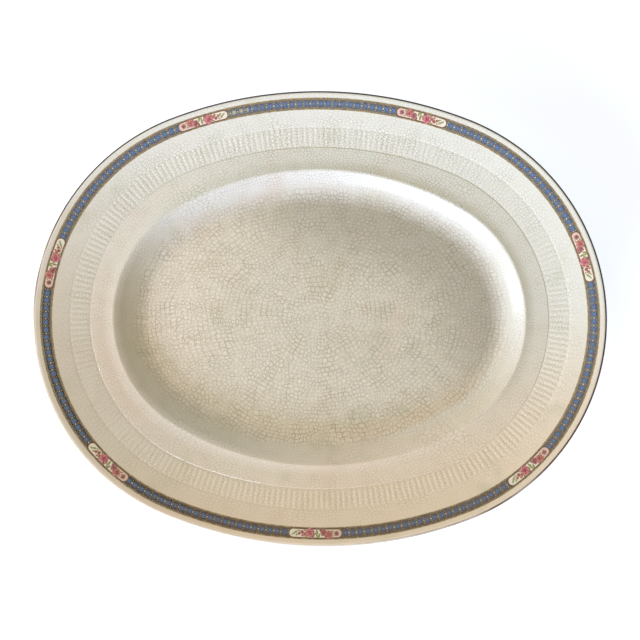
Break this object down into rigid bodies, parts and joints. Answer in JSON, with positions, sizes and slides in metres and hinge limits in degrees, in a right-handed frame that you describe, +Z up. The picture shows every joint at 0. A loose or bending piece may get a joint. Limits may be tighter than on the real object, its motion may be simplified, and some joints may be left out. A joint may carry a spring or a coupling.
{
  "type": "serving platter",
  "caption": "Oval china serving platter: wide moulded flange with a printed and gilded border, raised shoulder, shallow well and oval foot ring.",
  "frame": {"origin": "middle of the foot ring's bearing plane, under the middle of the oval", "axes": "+X along the platter's length, +Y across its width, +Z up out of the well"},
  "size_m": [0.356, 0.2834, 0.0273],
  "materials": {
    "fired_clay": "matt biscuit, bare on the foot ring",
    "clear_glaze": "glossy, crazed ivory glaze with faint stains",
    "worn_gilt": "thin worn gilding, dark where rubbed",
    "brown_gilt_line": "printed brown line with gilt dots",
    "grey_border_print": "printed grey-green checks",
    "blue_border_print": "printed cobalt checks and pale dots",
    "cream_enamel": "cream ground",
    "rose_enamel": "raised pink and green enamels"
  },
  "bodies": {
    "root": {"clay_body": "fired_clay", "glaze_coat": "clear_glaze", "base_glaze": "clear_glaze", "edge_gilding": "worn_gilt", "border_line_outer": "brown_gilt_line", "border_line_inner": "brown_gilt_line", "border_join_patch": "grey_border_print", "border_panel_1": "blue_border_print", "border_panel_2": "blue_border_print", "border_panel_3": "blue_border_print", "border_panel_4": "blue_border_print", "border_panel_5": "blue_border_print", "border_panel_6": "blue_border_print", "border_panel_7": "blue_border_print", "cartouche_1": "cream_enamel", "cartouche_2": "cream_enamel", "cartouche_3": "cream_enamel", "cartouche_4": "cream_enamel", "cartouche_5": "cream_enamel", "cartouche_6": "cream_enamel", "cartouche_7": "cream_enamel", "rose_spray_1": "rose_enamel", "rose_spray_2": "rose_enamel", "rose_spray_3": "rose_enamel", "rose_spray_4": "rose_enamel", "rose_spray_5": "rose_enamel", "rose_spray_6": "rose_enamel", "rose_spray_7": "rose_enamel"}
  },
  "joints": []
}
